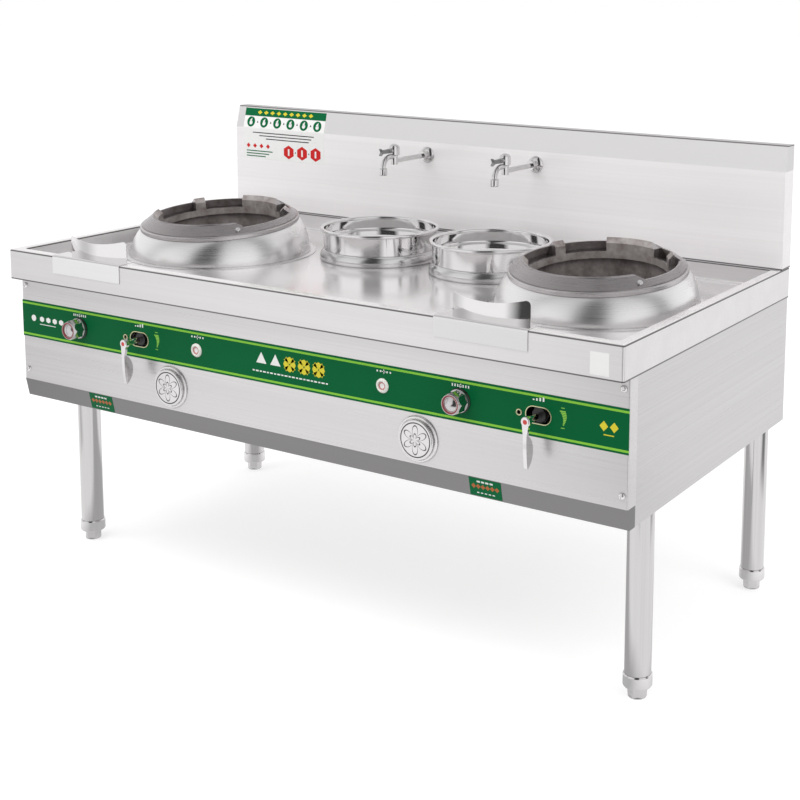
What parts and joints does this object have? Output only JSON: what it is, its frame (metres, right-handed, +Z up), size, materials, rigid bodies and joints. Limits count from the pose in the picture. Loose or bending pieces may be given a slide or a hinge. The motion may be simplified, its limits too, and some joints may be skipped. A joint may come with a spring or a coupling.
{
  "type": "wok range",
  "caption": "Free-standing commercial gas wok range with lift-off cast rings and soup pots in a recessed counter, backsplash with water taps, knee levers, knobs and screw feet.",
  "frame": {"origin": "on the floor, under the middle of the bounding box", "axes": "+X to the right along the counter, +Y to the backsplash, +Z up"},
  "size_m": [1.8, 0.9424, 1.158],
  "materials": {
    "polished_steel": "polished",
    "brushed_steel": "brushed",
    "spun_steel": "spun satin",
    "cast_iron": "cast, ground",
    "bolt_steel": "bright",
    "foot_steel": "satin",
    "chrome": "polished",
    "handle_grey": "matt",
    "lever_metal": "polished",
    "band_print": "gloss print",
    "grey_trim": "satin",
    "black_plastic": "gloss",
    "gold_trim": "satin",
    "button_white": "gloss",
    "button_red": "gloss",
    "brass": "satin",
    "pipe_yellow": "satin",
    "copper_pipe": "satin",
    "refractory": "rough",
    "burner_iron": "rough",
    "frame_paint": "matt",
    "blower_paint": "satin"
  },
  "bodies": {
    "range": {"counter_top": "polished_steel", "backsplash": "brushed_steel", "front_panel": "brushed_steel", "control_band": "band_print", "lower_trim_strip": "grey_trim", "back_panel": "brushed_steel", "bottom_panel": "brushed_steel", "base_frame": "frame_paint", "leg_front_left": "brushed_steel", "leg_front_right": "brushed_steel", "leg_rear_left": "brushed_steel", "leg_rear_right": "brushed_steel", "side_panel_left": "brushed_steel", "burner_skirt_left": "spun_steel", "combustion_bowl_left": "refractory", "burner_head_left": "burner_iron", "pot_collar_left": "spun_steel", "tap_body_left": "chrome", "gas_valve_left": "brass", "lever_valve_left": "brass", "button_bezel_left": "button_white", "side_panel_right": "brushed_steel", "burner_skirt_right": "spun_steel", "combustion_bowl_right": "refractory", "burner_head_right": "burner_iron", "pot_collar_right": "spun_steel", "tap_body_right": "chrome", "gas_valve_right": "brass", "lever_valve_right": "brass", "button_bezel_right": "button_white", "knob_bezels": "black_plastic", "slot_trims": "gold_trim", "round_covers": "chrome", "fascia_screws": "bolt_steel", "gas_manifold": "pipe_yellow", "gas_feed_pipes": "copper_pipe", "water_pipe": "bolt_steel", "drain_outlet": "bolt_steel", "air_duct": "brushed_steel", "blower": "blower_paint"},
    "foot_front_left": {"foot_front_left": "foot_steel"},
    "foot_front_right": {"foot_front_right": "foot_steel"},
    "foot_rear_left": {"foot_rear_left": "foot_steel"},
    "foot_rear_right": {"foot_rear_right": "foot_steel"},
    "ring_left": {"wok_ring_left": "cast_iron", "ring_bolt_left": "bolt_steel"},
    "pot_left": {"warming_pot_left": "polished_steel"},
    "guard_left": {"flame_guard_left": "polished_steel"},
    "tap_lever_left": {"tap_handle_left": "handle_grey"},
    "knob_left": {"gas_knob_left": "chrome"},
    "lever_left": {"air_lever_left": "lever_metal"},
    "button_left": {"igniter_button_left": "button_red"},
    "ring_right": {"wok_ring_right": "cast_iron", "ring_bolt_right": "bolt_steel"},
    "pot_right": {"warming_pot_right": "polished_steel"},
    "guard_right": {"flame_guard_right": "polished_steel"},
    "tap_lever_right": {"tap_handle_right": "handle_grey"},
    "knob_right": {"gas_knob_right": "chrome"},
    "lever_right": {"air_lever_right": "lever_metal"},
    "button_right": {"igniter_button_right": "button_red"}
  },
  "joints": [
    {"name": "foot_front_left_screw", "type": "slide", "parent": "range", "child": "foot_front_left", "axis": [0, 0, -1], "range_m": [0, 0.025]},
    {"name": "foot_front_right_screw", "type": "slide", "parent": "range", "child": "foot_front_right", "axis": [0, 0, -1], "range_m": [0, 0.025]},
    {"name": "foot_rear_left_screw", "type": "slide", "parent": "range", "child": "foot_rear_left", "axis": [0, 0, -1], "range_m": [0, 0.025]},
    {"name": "foot_rear_right_screw", "type": "slide", "parent": "range", "child": "foot_rear_right", "axis": [0, 0, -1], "range_m": [0, 0.025]},
    {"name": "ring_left_lift", "type": "slide", "parent": "range", "child": "ring_left", "axis": [0, 0, 1], "range_m": [0, 0.12]},
    {"name": "pot_left_lift", "type": "slide", "parent": "range", "child": "pot_left", "axis": [0, 0, 1], "range_m": [0, 0.15]},
    {"name": "guard_left_lift", "type": "slide", "parent": "range", "child": "guard_left", "axis": [0, 0, 1], "range_m": [0, 0.06]},
    {"name": "tap_left_turn", "type": "hinge", "parent": "range", "child": "tap_lever_left", "pos_m": [-0.18, 0.21, 1.086], "axis": [0, 1, 0], "range_deg": [0, 90]},
    {"name": "gas_knob_left_turn", "type": "hinge", "parent": "range", "child": "knob_left", "pos_m": [-0.685, -0.44, 0.656], "axis": [0, 1, 0], "range_deg": [-90, 0]},
    {"name": "air_lever_left_turn", "type": "hinge", "parent": "range", "child": "lever_left", "pos_m": [-0.472, -0.44, 0.656], "axis": [0, -1, 0], "range_deg": [0, 90]},
    {"name": "igniter_left_press", "type": "slide", "parent": "range", "child": "button_left", "axis": [0, 1, 0], "range_m": [0, 0.004], "stiffness_N_per_m": 600, "springref_m": -0.002},
    {"name": "ring_right_lift", "type": "slide", "parent": "range", "child": "ring_right", "axis": [0, 0, 1], "range_m": [0, 0.12]},
    {"name": "pot_right_lift", "type": "slide", "parent": "range", "child": "pot_right", "axis": [0, 0, 1], "range_m": [0, 0.15]},
    {"name": "guard_right_lift", "type": "slide", "parent": "range", "child": "guard_right", "axis": [0, 0, 1], "range_m": [0, 0.06]},
    {"name": "tap_right_turn", "type": "hinge", "parent": "range", "child": "tap_lever_right", "pos_m": [0.18, 0.21, 1.086], "axis": [0, 1, 0], "range_deg": [0, 90]},
    {"name": "gas_knob_right_turn", "type": "hinge", "parent": "range", "child": "knob_right", "pos_m": [0.487, -0.44, 0.656], "axis": [0, 1, 0], "range_deg": [-90, 0]},
    {"name": "air_lever_right_turn", "type": "hinge", "parent": "range", "child": "lever_right", "pos_m": [0.685, -0.44, 0.656], "axis": [0, -1, 0], "range_deg": [0, 90]},
    {"name": "igniter_right_press", "type": "slide", "parent": "range", "child": "button_right", "axis": [0, 1, 0], "range_m": [0, 0.004], "stiffness_N_per_m": 600, "springref_m": -0.002}
  ]
}
